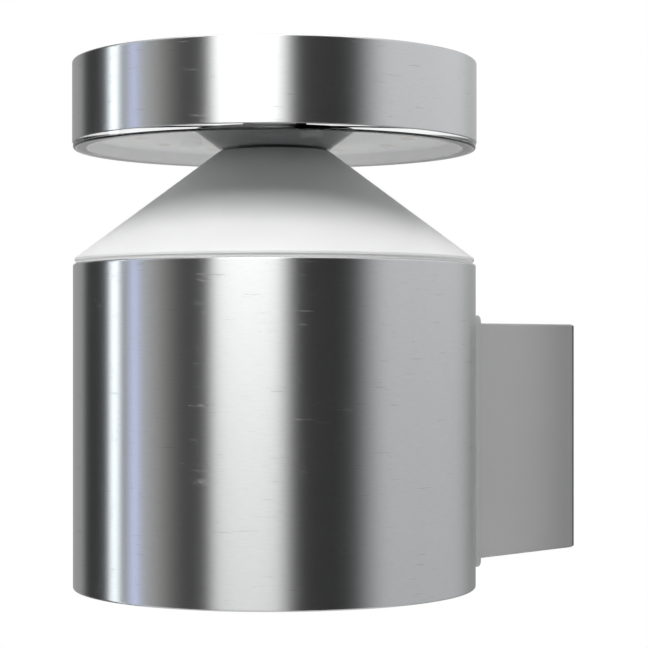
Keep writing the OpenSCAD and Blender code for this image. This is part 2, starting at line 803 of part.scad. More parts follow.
module wall_box() {
    inner_z = -box_in_h / 2;
    set_boss_top = plate_low - set_boss_gap;
    color("gray") difference() {
        union() {
            difference() {
                rounded_block(box_w, box_h, edge_r, -reach, box_y1);
                difference() {
                    rounded_block(box_in_w, box_in_h, edge_r, -reach, box_y1 + cut);
                    at_axis() translate([0, 0, -box_h]) cylinder(r = box_front_r, h = 2 * box_h);
                }
            }
            at_axis() for (side = [-1, 1]) along_y(0, side * box_screw_z, box_boss_r, body_r, boss_end);
            at_axis() for (side = [-1, 1])
                along_y(side * pole_pitch / 2, block_mid_z, block_post_r, body_r, block_y0);
            for (side = [-1, 1]) translate([side * set_x, -set_y, inner_z - box_wall / 2])
                cylinder(r = set_boss_r, h = set_boss_top - inner_z + box_wall / 2);
        }
        at_axis() translate([0, 0, -box_h]) cylinder(r = box_saddle_r, h = 2 * box_h);
        at_axis() for (side = [-1, 1])
            along_y(0, side * box_screw_z, m4_r + thread_gap, body_r, boss_end + cut);
        at_axis() for (side = [-1, 1])
            along_y(side * pole_pitch / 2, block_mid_z, block_screw_r + thread_gap,
                block_y1 - block_screw_head_h - block_screw_l - cut, block_y0 + cut);
        at_axis() along_y(0, 0, grommet_r + grommet_fit, body_r, box_front_r + cut);
        for (side = [-1, 1]) translate([side * set_x, -set_y, -box_h / 2 - cut])
            cylinder(r = set_r + thread_gap, h = box_h / 2 + set_boss_top + 2 * cut);
    }
}

module box_screws() {
    color("gainsboro") at_axis() for (side = [-1, 1])
        screw_y(0, bar_front - m4_washer_t, side * box_screw_z, 1, m4_r, box_screw_l, m4_head_r, m4_head_h);
}

module box_screw_washers() {
    color("dimgray") at_axis() for (side = [-1, 1]) difference() {
        along_y(0, side * box_screw_z, m4_washer_r, bar_front - m4_washer_t, bar_front);
        along_y(0, side * box_screw_z, m4_r + tip_gap, bar_front - m4_washer_t - cut, bar_front + cut);
    }
}

module lead_grommet() {
    color("black") at_axis() difference() {
        union() {
            along_y(0, 0, grommet_r, bar_front - tip_gap, grommet_end);
            along_y(0, 0, grommet_flange_r, bar_front - grommet_flange_t, bar_front);
            along_y(0, 0, grommet_flange_r, grommet_end - grommet_flange_t, grommet_end);
        }
        along_y(0, 0, grommet_bore_r, bar_front - grommet_flange_t - cut, grommet_end + cut);
    }
}

module each_pole() {
    for (i = [0:pole_count - 1]) translate([(i - (pole_count - 1) / 2) * pole_pitch, 0, 0]) children();
}

module terminal_block() {
    color("ivory") at_axis() difference() {
        translate([-block_w / 2, block_y0, block_z0]) cube([block_w, block_d, block_h]);
        each_pole() {
            translate([-pole_bay_w / 2, clamp_y - pole_bay_w / 2, block_z0 - cut])
                cube([pole_bay_w, pole_bay_w, block_h + 2 * cut]);
        }
        each_clamp_screw() along_y(0, 0, clamp_key_r, clamp_y, block_y1 + cut);
        for (side = [-1, 1]) {
            along_y(side * pole_pitch / 2, block_mid_z, block_screw_r + block_screw_hole_gap,
                block_y0 - cut, block_y1 + cut);
            along_y(side * pole_pitch / 2, block_mid_z, block_screw_head_r + block_screw_hole_gap,
                block_y1 - block_screw_head_h, block_y1 + cut);
        }
    }
}

module each_clamp_screw() {
    each_pole() for (side = [-1, 1])
        translate([0, 0, block_mid_z + side * (clamp_h / 2 - clamp_screw_inset)]) children();
}

module terminal_clamps() {
    color("goldenrod") at_axis() difference() {
        each_pole() translate([-clamp_w / 2, clamp_y - clamp_w / 2, block_mid_z - clamp_h / 2])
            cube([clamp_w, clamp_w, clamp_h]);
        each_pole() translate([0, clamp_y, block_mid_z - clamp_h / 2 - cut])
            cylinder(r = clamp_bore_r, h = clamp_h + 2 * cut);
        each_clamp_screw() along_y(0, 0, clamp_screw_r, clamp_y, clamp_y + clamp_w);
    }
}

module terminal_screws() {
    tip_y = clamp_y + lead_r + tip_gap;
    color("gainsboro") at_axis() each_clamp_screw() difference() {
        along_y(0, 0, clamp_screw_r - thread_gap, tip_y, tip_y + clamp_screw_l);
        translate([-clamp_screw_r, tip_y + clamp_screw_l * (1 - slot_share), -clamp_screw_r * slot_share])
            cube([2 * clamp_screw_r, clamp_screw_l, 2 * clamp_screw_r * slot_share]);
    }
}

module terminal_block_screws() {
    color("gainsboro") at_axis() for (side = [-1, 1])
        screw_y(side * pole_pitch / 2, block_y1 - block_screw_head_h, block_mid_z, -1,
            block_screw_r, block_screw_l, block_screw_head_r, block_screw_head_h);
}

// The three mains leads run from the terminal block through the grommet into the body.
// at = the lead's place in the grommet's bore, pole_x = its pole on the block
function box_run(at, pole_x) =
    let (clamp_top = block_mid_z + clamp_h / 2,
        out = [at.x, grommet_end, at.y],
        pole = [pole_x, clamp_y, block_z1])
    concat([[pole_x, clamp_y, clamp_top - lead_grip], pole],
        curve(pole, pole + [0, 0, lead_entry], out + [0, lead_loop, 0], out),
        [[at.x, bar_front - grommet_flange_t, at.y]]);

live_at = [-lead_spread * lead_side_share, -lead_spread * lead_low_share];
neutral_at = [lead_spread * lead_side_share, -lead_spread * lead_low_share];
earth_at = [0, lead_spread];

// From the grommet to the driver's mains port, ending on the driver's board
module mains_lead(at, pole_x, board_x) {
    start = [at.x, bar_front - grommet_flange_t, at.y];
    port = [board_x, driver_y1 + sheet_t, mains_port_z];
    at_axis() lead(concat(box_run(at, pole_x),
        curve(start, start - [0, lead_bend, 0], port + [0, lead_bend, 0], port),
        [[board_x, driver_board_y1 + tip_gap, mains_port_z]]), lead_r);
}

module lead_live() {
    color("saddlebrown") mains_lead(live_at, -pole_pitch, -board_lead_x);
}

module lead_neutral() {
    color("royalblue") mains_lead(neutral_at, pole_pitch, board_lead_x);
}

module lead_earth() {
    start = [earth_at.x, bar_front - grommet_flange_t, earth_at.y];
    end = [0, strap_y + sheet_t + lug_barrel_r, lug_z + lug_barrel_rise + lug_barrel_h];
    color("yellowgreen") at_axis() lead(concat(box_run(earth_at, 0),
        curve(start, start - [0, lead_bend, 0], end + [0, 0, lug_entry], end),
        [end - [0, 0, lug_barrel_h / 2]]), lead_r);
}

module earth_lug() {
    y0 = strap_y + sheet_t;
    color("gainsboro") at_axis() difference() {
        union() {
            along_y(0, lug_z, lug_ring_r, y0, y0 + lug_t);
            translate([-lug_neck_w / 2, y0, lug_z]) cube([lug_neck_w, lug_t, lug_barrel_rise + lug_t]);
            translate([0, y0 + lug_barrel_r, lug_z + lug_barrel_rise])
                cylinder(r = lug_barrel_r, h = lug_barrel_h);
        }
        along_y(0, lug_z, m3_hole_r, y0 - cut, y0 + lug_t + cut);
        translate([0, y0 + lug_barrel_r, lug_z + lug_barrel_rise + lug_t])
            cylinder(r = lead_r + tip_gap, h = lug_barrel_h);
    }
}

module earth_lug_screw() {
    color("gainsboro") at_axis() screw_y(0, strap_y + sheet_t + lug_t, lug_z, -1,
        m3_r, sheet_t + lug_t - tip_gap, m3_head_r, m3_head_h);
}

// The two leads of the light board run up the stem and over into the connector on the board
module led_lead(side) {
    x = side * led_lead_gap;
    connector_z = sink_z0 + connector_h + tip_gap;
    top = [x, side * led_lead_gap * lead_low_share, sink_base_z1 + stem_over_base / 2];
    end = [connector_x, side * led_lead_gap, connector_z];
    at_axis() lead(concat(
        [[x, 0, link_z1 + tip_gap], [x, 0, driver_z1 + case_wall], top],
        curve(top, top + [0, 0, led_lead_rise], end + [0, 0, led_lead_rise], end)), led_lead_r);
}

module led_lead_plus() {
    color("firebrick") led_lead(1);
}

module led_lead_minus() {
    color("black") led_lead(-1);
}

module wall_seal() {
    color("dimgray") difference() {
        rounded_block(box_w - wall_seal_inset, box_h - wall_seal_inset, edge_r, -wall_seal_t, 0);
        rounded_block(box_in_w + wall_seal_inset, box_in_h + wall_seal_inset, edge_r,
            -wall_seal_t - cut, cut);
    }
}

module slot(x) {
    travel = slot_l - slot_w;
    for (end = [-travel / 2, travel / 2]) along_y(x + end, 0, slot_w / 2, -plate_t - cut, cut);
    translate([x - travel / 2, -plate_t - cut, -slot_w / 2]) cube([travel, plate_t + 2 * cut, slot_w]);
}

// The strip across the lips, bent forward at its top and bottom, seen along X
module lip_strip() {
    bend_y = -lip_bend_r;
    top_z = plate_top - lip_bend_r;
    low_z = plate_low + lip_bend_r;
    inner_r = lip_bend_r - plate_t;
    translate([-lip_w / 2, 0, 0]) rotate([90, 0, 90]) linear_extrude(lip_w) polygon(concat(
        [[-lip_l, plate_top]], arc(bend_y, top_z, lip_bend_r, 90, 0),
        arc(bend_y, low_z, lip_bend_r, 0, -90), [[-lip_l, plate_low], [-lip_l, plate_low + plate_t]],
        arc(bend_y, low_z, inner_r, -90, 0), arc(bend_y, top_z, inner_r, 0, 90),
        [[-lip_l, plate_top - plate_t]]));
}

module mounting_plate() {
    color("lightsteelblue") difference() {
        union() {
            difference() {
                translate([-plate_w / 2, -plate_t, plate_low])
                    cube([plate_w, plate_t, plate_top - plate_low]);
                for (z = [plate_low - lip_bend_r, plate_top - lip_bend_r])
                    translate([-lip_w / 2, -lip_l, z]) cube([lip_w, 2 * lip_l, 2 * lip_bend_r]);
            }
            lip_strip();
            along_y(earth_x, earth_z, earth_boss_r, -plate_t - earth_boss_h, -plate_t / 2);
        }
        for (side = [-1, 1]) slot(side * slot_spacing / 2);
        along_y(0, 0, entry_hole_r, -plate_t - cut, cut);
        along_y(earth_x, earth_z, m4_r + thread_gap, -plate_t - earth_boss_h - cut, cut);
    }
}

module entry_grommet() {
    front = -plate_t - entry_flange_t;
    color("black") difference() {
        union() {
            along_y(0, 0, entry_hole_r - entry_fit, front, -entry_back_gap);
            along_y(0, 0, entry_flange_r, front, -plate_t);
            along_y(0, 0, entry_nose_r, front - entry_nose_h, front + entry_flange_t / 2);
        }
        along_y(0, 0, entry_d / 2, front - entry_nose_h - cut, cut);
    }
}

module plate_earth_screw() {
    seat = -plate_t - earth_boss_h - m4_washer_t;
    color("gold") screw_y(earth_x, seat, earth_z, 1, m4_r, -seat - earth_screw_back, m4_head_r, m4_head_h);
}

module plate_earth_washer() {
    seat = -plate_t - earth_boss_h;
    color("gainsboro") difference() {
        along_y(earth_x, earth_z, m4_washer_r, seat - m4_washer_t, seat);
        along_y(earth_x, earth_z, m4_r + tip_gap, seat - m4_washer_t - cut, seat + cut);
    }
}

module set_screw(side) {
    color("gainsboro") translate([side * set_x, -set_y, set_top - set_l]) difference() {
        cylinder(r = set_r, h = set_l);
        translate([0, 0, -cut]) cylinder(r = set_key_r, h = set_key_depth + cut, $fn = 6);
    }
}

module set_screw_left() {
    set_screw(-1);
}

module set_screw_right() {
    set_screw(1);
}

cap_shell();
cap_studs();
cap_nuts();
heat_sink();
led_board();
led_chips();
led_connector();
led_board_screws();
light_tray();
lens();
lens_seal();
hub_seal();
neck_seal();
reflector_cone();
cone_seal();
stem_tube();
spacer_sleeve();
stem_washer();
stem_nut();
body_shell();
chassis();
foot_nut();
bottom_screw();
bottom_seal();
driver_case();
driver_lid();
driver_board();
driver_transformer();
driver_capacitors();
driver_connector();
driver_screws();
backing_bar();
saddle_collar();
wall_box();
box_screws();
box_screw_washers();
lead_grommet();
terminal_block();
terminal_clamps();
terminal_screws();
terminal_block_screws();
lead_live();
lead_neutral();
lead_earth();
earth_lug();
earth_lug_screw();
led_lead_plus();
led_lead_minus();
wall_seal();
mounting_plate();
entry_grommet();
plate_earth_screw();
plate_earth_washer();
set_screw_left();
set_screw_right();
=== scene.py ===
import json
from math import atan2, cos, hypot, pi, radians, sin, sqrt

import bmesh
import bpy
from bpy.props import FloatProperty, FloatVectorProperty, PointerProperty
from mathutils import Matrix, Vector


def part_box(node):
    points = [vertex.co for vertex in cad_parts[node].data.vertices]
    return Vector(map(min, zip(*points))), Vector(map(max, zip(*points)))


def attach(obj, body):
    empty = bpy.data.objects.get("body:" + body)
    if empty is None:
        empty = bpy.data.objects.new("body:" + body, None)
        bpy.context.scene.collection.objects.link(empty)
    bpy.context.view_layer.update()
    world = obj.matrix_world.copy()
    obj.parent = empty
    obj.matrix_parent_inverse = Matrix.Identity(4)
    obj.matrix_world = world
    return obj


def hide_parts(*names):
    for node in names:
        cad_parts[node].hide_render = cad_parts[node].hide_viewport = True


bl_info = {
    "name": "Tube wall light",
    "version": (1, 0, 0),
    "blender": (4, 5, 0),
    "location": "3D View > Sidebar > Tube light",
    "description": "Dresses the construction model of a brushed steel tube wall light",
    "category": "Add Mesh",
}

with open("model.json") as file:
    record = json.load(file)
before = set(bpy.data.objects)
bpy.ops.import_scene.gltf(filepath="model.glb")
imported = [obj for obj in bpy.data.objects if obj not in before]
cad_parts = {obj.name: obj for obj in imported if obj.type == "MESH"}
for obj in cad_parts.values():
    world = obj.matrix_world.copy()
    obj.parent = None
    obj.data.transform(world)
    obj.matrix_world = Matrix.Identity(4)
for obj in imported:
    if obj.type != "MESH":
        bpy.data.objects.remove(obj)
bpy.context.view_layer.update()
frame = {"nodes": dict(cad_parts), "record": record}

MM = 0.001
# Axis of the tube and heights that the pieces share, from the construction model
BODY_LOW, BODY_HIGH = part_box("body_shell")
CAP_LOW, CAP_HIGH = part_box("cap_shell")
LENS_LOW, LENS_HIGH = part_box("lens")
CONE_LOW, CONE_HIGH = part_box("reflector_cone")
COLLAR_LOW, COLLAR_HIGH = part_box("saddle_collar")
AXIS_Y = (BODY_LOW.y + BODY_HIGH.y) / 2
BODY_R = (BODY_HIGH.x - BODY_LOW.x) / 2
CAP_R = (CAP_HIGH.x - CAP_LOW.x) / 2
LENS_R = (LENS_HIGH.x - LENS_LOW.x) / 2

TURNS = 256  # faces round a turned piece
SHARP = radians(30)  # edges that turn more than this stay sharp
HOLD = 0.04 * MM  # how close to its ends a long stretch is held flat


def length(name, description, default):
    """A size in metres, for a property group."""
    return FloatProperty(name=name, description=description, default=default, min=0,
                         unit="LENGTH", subtype="DISTANCE", precision=5)


def colour(name, description, default):
    """A colour, for a property group."""
    return FloatVectorProperty(name=name, description=description, default=default, size=3,
                               min=0, max=1, subtype="COLOR")


def share(name, description, default):
    """A value from 0 to 1, for a property group."""
    return FloatProperty(name=name, description=description, default=default, min=0, max=1,
                         subtype="FACTOR")


def angle(name, description, default):
    """An angle in degrees, for a property group."""
    return FloatProperty(name=name, description=description, default=radians(default), unit="ROTATION",
                         subtype="ANGLE")


class TubeLightSizes(bpy.types.PropertyGroup):
    """Sizes of the pieces that are modelled over the construction model."""

    sheet: length("Sheet", "Thickness of the steel of body and cap", 1.0 * MM)
    cap_edge: length("Cap edge", "Rounding of the cap's top edge", 0.5 * MM)
    cap_lip: length("Cap lip", "Rounding of the cap's lower edge", 0.2 * MM)
    body_edge: length("Body edge", "Rounding of the body's bottom edge", 0.5 * MM)
    body_rim: length("Body rim", "Rounding of the body's rim", 0.5 * MM)
    recess_r: length("Recess", "Radius of the recess under the body", 12.0 * MM)
    recess_h: length("Recess depth", "Depth of the recess under the body", 3.4 * MM)
    recess_hole_r: length("Recess hole", "Radius of the screw hole in the recess", 2.75 * MM)
    lens_edge: length("Lens edge", "Rounding of the lens's lower edge", 0.5 * MM)
    lens_t: length("Lens", "Thickness of the lens", 2.0 * MM)
    lens_hole_r: length("Lens hole", "Radius of the lens's centre hole", 5.3 * MM)
    spigot_gap: length("Spigot gap", "Gap between the lens's spigot and the cap", 0.15 * MM)
    spigot_t: length("Spigot", "Thickness of the lens's spigot", 2.2 * MM)
    groove: length("Groove", "Depth of the seal's groove in the spigot", 1.0 * MM)
    groove_rise: length("Groove rise", "Height of the groove over the cap's lower edge", 1.2 * MM)
    groove_w: length("Groove width", "Width of the seal's groove", 1.2 * MM)
    tray_t: length("Tray", "Thickness of the light tray", 0.6 * MM)
    cone_edge: length("Cone edge", "Height of the cone's upright outer edge", 0.6 * MM)
    cone_wall: length("Cone wall", "Thickness of the cone", 2.4 * MM)
    cone_soft: length("Cone rounding", "Rounding of the cone's edges", 0.2 * MM)
    neck_r: length("Neck", "Radius of the cone's neck", 14.0 * MM)
    neck_t: length("Neck thickness", "Thickness of the cone's neck", 2.5 * MM)
    cone_spigot_r: length("Cone spigot", "Outer radius of the cone's spigot", 48.6 * MM)
    cone_spigot_t: length("Cone spigot wall", "Thickness of the cone's spigot", 2.0 * MM)
    cone_spigot_h: length("Cone spigot height", "Height of the cone's spigot", 4.0 * MM)
    collar_corner: length("Collar corner", "Corner radius of the collar", 2.0 * MM)
    collar_soft: length("Collar rounding", "Rounding of the collar's edges", 0.5 * MM)
    collar_gap: length("Collar gap", "Gap between the collar and the body", 0.1 * MM)
    screw_hole_r: length("Screw hole", "Radius of the holes for the box's screws", 2.2 * MM)
    lead_hole_r: length("Lead hole", "Radius of the hole for the leads", 5.1 * MM)


class TubeLightColours(bpy.types.PropertyGroup):
    """Colours of the finishes."""

    steel: colour("Steel", "Brushed stainless steel", (0.56, 0.565, 0.565))
    plated: colour("Zinc plate", "Screws, nuts and washers", (0.66, 0.67, 0.68))
    sheet_zinc: colour("Zinc sheet", "Wall plate and chassis", (0.60, 0.62, 0.64))
    aluminium: colour("Aluminium", "Heat sink, sleeve and bar", (0.55, 0.55, 0.56))
    white: colour("White", "Cone", (0.86, 0.86, 0.86))
    tray: colour("Tray", "Ceiling of the light tray", (0.94, 0.94, 0.94))
    # Near black colour that paints shade on the tray's upright side and round its middle
    tray_painted_shade: colour("Tray side", "Upright side of the light tray", (0.10, 0.10, 0.105))
    paint: colour("Grey paint", "Wall box and collar", (0.50, 0.50, 0.50))
    seal_pale: colour("Pale seal", "Seal between the cone and the body", (0.93, 0.93, 0.93))
    seal_grey: colour("Grey rubber", "Gaskets", (0.16, 0.16, 0.16))
    black: colour("Black rubber", "Grommets and the neck's seal", (0.08, 0.08, 0.082))
    brass: colour("Brass", "Clamps and the earth screw", (0.78, 0.58, 0.26))


class TubeLightStudio(bpy.types.PropertyGroup):
    """The camera and the light of the studio."""

    camera_turn: angle("Camera", "Bearing of the camera from straight in front", 45.15)
    camera_yaw: angle("Camera yaw", "How far the view is turned off the tube's axis", -1.406)
    camera_back: length("Distance", "From the camera to the tube's axis", 500.2 * MM)
    camera_rise: length("Camera height", "Height of the camera over the body's bottom", 60.25 * MM)
    lens: FloatProperty(name="Lens", description="Focal length in millimetres", default=111.3, min=1)
    shift: FloatProperty(name="Shift", description="Upward shift of the view, in widths", default=0.0312)
    floor_drop: length("Floor drop", "From the light down to the floor", 0.32)
    fill_front: share("Front fill", "Soft light from the camera's side", 0.05)
    fill_side: share("Side fill", "Soft light from the sides and from behind", 0.85)
    key_power: FloatProperty(name="Key", description="Power of the overhead softbox", default=6.4, min=0,
                             unit="POWER")
    key_bearing: angle("Key bearing", "Bearing of the overhead softbox from the camera", -12)
    key_rise: angle("Key rise", "Elevation of the overhead softbox", 47)
    key_back: length("Key distance", "Distance of the overhead softbox", 0.9)
    key_size: length("Key size", "Width of the overhead softbox", 0.58)
    ring_r: length("Ring", "Radius on which the reflected cards stand", 1.4)


def sizes():
    return bpy.context.scene.tube_light_sizes


def colours():
    return bpy.context.scene.tube_light_colours


def studio():
    return bpy.context.scene.tube_light_studio


# Mesh tools

def arc(r, z, radius, start, end, steps=8):
    """Points of an arc about (r, z), from one angle to another in degrees."""
    return [(r + radius * cos(radians(a)), z + radius * sin(radians(a)))
            for a in (start + (end - start) * i / steps for i in range(steps + 1))]


def tall(start, end, parts):
    """Points that split a straight stretch between two points, without its ends."""
    return [(start[0] + (end[0] - start[0]) * i / parts, start[1] + (end[1] - start[1]) * i / parts)
            for i in range(1, parts)]


def placed(name, work):
    """Make an object of a bmesh, which is freed, and put it in the scene."""
    mesh = bpy.data.meshes.new(name)
    work.to_mesh(mesh)
    work.free()
    piece = bpy.data.objects.new(name, mesh)
    bpy.context.scene.collection.objects.link(piece)
    return piece


def shaded(piece):
    """Shade a piece smooth, apart from its sharp edges."""
    piece.data.shade_smooth()
    piece.data.set_sharp_from_angle(angle=SHARP)
    return piece


def held(outline):
    """The outline with a point close to both ends of each long stretch, so that its shading stays flat."""
    points = []
    for (r0, z0), (r1, z1) in zip(outline, outline[1:] + outline[:1]):
        points.append((r0, z0))
        span = hypot(r1 - r0, z1 - z0)
        if span > 8 * HOLD:
            for part in (HOLD / span, 1 - HOLD / span):
                points.append((r0 + (r1 - r0) * part, z0 + (z1 - z0) * part))
    return points


def turned(name, outline):
    """A closed outline of (radius, height) points, turned round the tube's axis."""
    work = bmesh.new()
    rings = []
    for r, z in held(outline):
        if r < 1e-7:
            rings.append([work.verts.new((0, AXIS_Y, z))])
            continue
        rings.append([work.verts.new((r * cos(2 * pi * k / TURNS), AXIS_Y + r * sin(2 * pi * k / TURNS), z))
                      for k in range(TURNS)])
    for low, high in zip(rings, rings[1:] + rings[:1]):
        for k in range(TURNS):
            n = (k + 1) % TURNS
            if len(low) == 1 and len(high) == 1:
                break
            if len(low) == 1:
                work.faces.new((low[0], high[n], high[k]))
            elif len(high) == 1:
                work.faces.new((low[k], low[n], high[0]))
            else:
                work.faces.new((low[k], low[n], high[n], high[k]))
    bmesh.ops.recalc_face_normals(work, faces=work.faces)
    return shaded(placed(name, work))


def drill(piece, holes):
    """Cut round holes along Y, each given as (x, z, radius, y0, y1), into a piece."""
    for x, z, radius, y0, y1 in holes:
        work = bmesh.new()
        bmesh.ops.create_cone(work, cap_ends=True, segments=48, radius1=radius, radius2=radius, depth=y1 - y0)
        tool = placed("drill", work)
        tool.rotation_euler = (pi / 2, 0, 0)
        tool.location = (x, (y0 + y1) / 2, z)
        cut = piece.modifiers.new("hole", "BOOLEAN")
        cut.object = tool
        cut.solver = "EXACT"
        bpy.context.view_layer.update()
        shaped = bpy.data.meshes.new_from_object(piece.evaluated_get(bpy.context.evaluated_depsgraph_get()))
        piece.modifiers.clear()
        piece.data = shaped
        bpy.data.objects.remove(tool)
    return shaded(piece)


def back_holes(end):
    """Holes in the tube's back for the box's screws and the leads, which end at a share of its radius."""
    low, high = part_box("box_screw_washers")
    screw_z = (high.z - low.z) / 2 - (high.x - low.x) / 2
    rows = ((screw_z, sizes().screw_hole_r), (-screw_z, sizes().screw_hole_r), (0, sizes().lead_hole_r))
    return [(0, z, r, AXIS_Y + BODY_R * 0.8, AXIS_Y + BODY_R * end) for z, r in rows]


# Material tools

def add(tree, kind, inputs=None, **settings):
    """Add a node, set its settings, and fill or link its inputs."""
    made = tree.nodes.new(kind)
    for name, value in settings.items():
        setattr(made, name, value)
    for socket, value in (inputs or {}).items():
        if isinstance(value, bpy.types.NodeSocket):
            tree.links.new(value, made.inputs[socket])
        else:
            made.inputs[socket].default_value = value
    return made


def math(tree, operation, a, b):
    """The result of a Math node."""
    return add(tree, "ShaderNodeMath", {0: a, 1: b}, operation=operation).outputs[0]


def spread(tree, value, low, high, start=0.0, end=1.0, smooth=False):
    """A value mapped from low..high to start..end."""
    kind = "SMOOTHSTEP" if smooth else "LINEAR"
    return add(tree, "ShaderNodeMapRange",
               {"Value": value, "From Min": low, "From Max": high, "To Min": start, "To Max": end},
               interpolation_type=kind).outputs["Result"]


def noise(tree, vector, scale, detail=2.0, roughness=0.5):
    """The value of a Noise texture."""
    return add(tree, "ShaderNodeTexNoise",
               {"Vector": vector, "Scale": scale, "Detail": detail, "Roughness": roughness}).outputs[0]


def tint(tree, fac, low, high):
    """A colour between two colours."""
    mixed = add(tree, "ShaderNodeMix", {"Factor": fac, "A": (*low, 1), "B": (*high, 1)}, data_type="RGBA")
    return mixed.outputs["Result"]


def shade(colour_value, factor):
    """A colour made lighter or darker."""
    return tuple(min(1.0, c * factor) for c in colour_value)


def group(name, inputs, outputs):
    """An empty shader node group with named value sockets, and its two end nodes."""
    tree = bpy.data.node_groups.new(name, "ShaderNodeTree")
    for socket, default in inputs.items():
        made = tree.interface.new_socket(socket, in_out="INPUT", socket_type="NodeSocketFloat")
        made.default_value = default
    for socket in outputs:
        tree.interface.new_socket(socket, in_out="OUTPUT", socket_type="NodeSocketFloat")
    return tree, tree.nodes.new("NodeGroupInput"), tree.nodes.new("NodeGroupOutput")


SCRATCH_SIZE = 3.4  # size of a scratch in the brushed steel, in streaks
SCRATCH_DEPTH = 7.0  # depth of a scratch, in streaks


def round_brushing():
    """Streaks that run round the tube's axis, on its wall and on its flat ends."""
    name = "Round brushing"
    if name in bpy.data.node_groups:
        return bpy.data.node_groups[name]
    tree, given, result = group(name, {"Streak length": 2.4, "Streak width": 0.12},
                                ["Streaks", "Scratches", "Cloud"])
    place = add(tree, "ShaderNodeTexCoord").outputs["Object"]
    local = add(tree, "ShaderNodeVectorMath", {0: place, 1: (0, -AXIS_Y, 0)}, operation="ADD").outputs[0]
    part = add(tree, "ShaderNodeSeparateXYZ", {0: local})
    out = add(tree, "ShaderNodeCombineXYZ", {"X": part.outputs["X"], "Y": part.outputs["Y"]}).outputs[0]
    radius = add(tree, "ShaderNodeVectorMath", {0: out}, operation="LENGTH").outputs["Value"]
    across = math(tree, "SUBTRACT", part.outputs["Z"], radius)
    for socket, times in (("Streaks", 1.0), ("Scratches", SCRATCH_SIZE)):
        along = math(tree, "MULTIPLY", given.outputs["Streak length"], MM * times)
        width = math(tree, "MULTIPLY", given.outputs["Streak width"], MM * times)
        streak = add(tree, "ShaderNodeCombineXYZ", {
            "X": math(tree, "DIVIDE", part.outputs["X"], along),
            "Y": math(tree, "DIVIDE", part.outputs["Y"], along),
            "Z": math(tree, "DIVIDE", across, width)}).outputs[0]
        grain = noise(tree, streak, 1.0, 3.0, 0.6)
        if socket == "Scratches":
            grain = spread(tree, grain, 0.65, 0.70, smooth=True)
        tree.links.new(grain, result.inputs[socket])
    tree.links.new(noise(tree, local, 25.0, 1.0), result.inputs["Cloud"])
    return tree


def fine_texture():
    """Fine bumps and a faint drift of tone, for paint, rubber and moulded plastic."""
    name = "Fine texture"
    if name in bpy.data.node_groups:
        return bpy.data.node_groups[name]
    tree, given, result = group(name, {"Bump size": 0.4, "Drift size": 20.0}, ["Bumps", "Drift"])
    place = add(tree, "ShaderNodeTexCoord").outputs["Object"]
    for size, detail, socket in (("Bump size", 3.0, "Bumps"), ("Drift size", 2.0, "Drift")):
        scale = math(tree, "DIVIDE", 1 / MM, given.outputs[size])
        tree.links.new(noise(tree, place, scale, detail), result.inputs[socket])
    return tree


def long_brushing():
    """Straight streaks along X, for zinc sheet and turned screws."""
    name = "Straight brushing"
    if name in bpy.data.node_groups:
        return bpy.data.node_groups[name]
    tree, given, result = group(name, {"Streak length": 3.0, "Streak width": 0.15}, ["Streaks", "Cloud"])
    place = add(tree, "ShaderNodeTexCoord").outputs["Object"]
    part = add(tree, "ShaderNodeSeparateXYZ", {0: place})
    along = math(tree, "MULTIPLY", given.outputs["Streak length"], MM)
    width = math(tree, "MULTIPLY", given.outputs["Streak width"], MM)
    streak = add(tree, "ShaderNodeCombineXYZ", {
        "X": math(tree, "DIVIDE", part.outputs["X"], along),
        "Y": math(tree, "DIVIDE", part.outputs["Y"], width),
        "Z": math(tree, "DIVIDE", part.outputs["Z"], width)}).outputs[0]
    tree.links.new(noise(tree, streak, 1.0, 3.0, 0.6), result.inputs["Streaks"])
    tree.links.new(noise(tree, place, 70.0, 2.0), result.inputs["Cloud"])
    return tree


def use_group(tree, made_group, **values):
    """Place a node group in a material, with its own values."""
    placed = tree.nodes.new("ShaderNodeGroup")
    placed.node_tree = made_group
    for socket, value in values.items():
        placed.inputs[socket.replace("_", " ")].default_value = value
    return placed


def new_material(name):
    """An empty material and its node tree."""
    made = bpy.data.materials.new(name)
    made.use_nodes = True
    made.node_tree.nodes.clear()
    return made, made.node_tree


def close(tree, shader):
    """Finish a material with a shader."""
    out = tree.nodes.new("ShaderNodeOutputMaterial")
    tree.links.new(shader.outputs[0], out.inputs["Surface"])


def principled(tree, inputs):
    """Finish a material with a Principled shader."""
    close(tree, add(tree, "ShaderNodeBsdfPrincipled", inputs))


def bump(tree, height, depth):
    """A normal from a height and from the depth, in metres, of a height of 1."""
    return add(tree, "ShaderNodeBump", {"Height": height, "Strength": 1.0, "Distance": depth}).outputs[0]


def material(slot):
    """The finish of one slot, made when it is first asked for."""
    name = "finish_" + slot
    if name in bpy.data.materials:
        return bpy.data.materials[name]
    return FINISHES[slot](name)


def brushed_steel(name):
    """Steel brushed round the tube's axis, with a few scratches.

    Its roughness stays just over the level below which the denoiser is guided by the reflections, since a
    roughness that crosses that level is drawn as lines.
    """
    made, tree = new_material(name)
    brushing = use_group(tree, round_brushing(), Streak_length=2.4, Streak_width=0.14)
    streaks, scratches, cloud = (brushing.outputs[s] for s in ("Streaks", "Scratches", "Cloud"))
    base = tuple(colours().steel)
    height = math(tree, "SUBTRACT", streaks, math(tree, "MULTIPLY", scratches, SCRATCH_DEPTH))
    bright = spread(tree, streaks, 0.3, 0.7, 0.7, 1.0)
    pale = math(tree, "SUBTRACT", bright, math(tree, "MULTIPLY", scratches, 0.7))
    principled(tree, {
        "Base Color": tint(tree, pale, shade(base, 0.8), shade(base, 1.07)),
        "Metallic": 1.0,
        "Roughness": spread(tree, cloud, 0.2, 0.8, 0.2745, 0.28),
        "Anisotropic": 0.85,
        "Anisotropic Rotation": 0.25,
        "Tangent": add(tree, "ShaderNodeTangent", direction_type="RADIAL", axis="Z").outputs[0],
        "Normal": bump(tree, height, 0.001 * MM),
    })
    return made


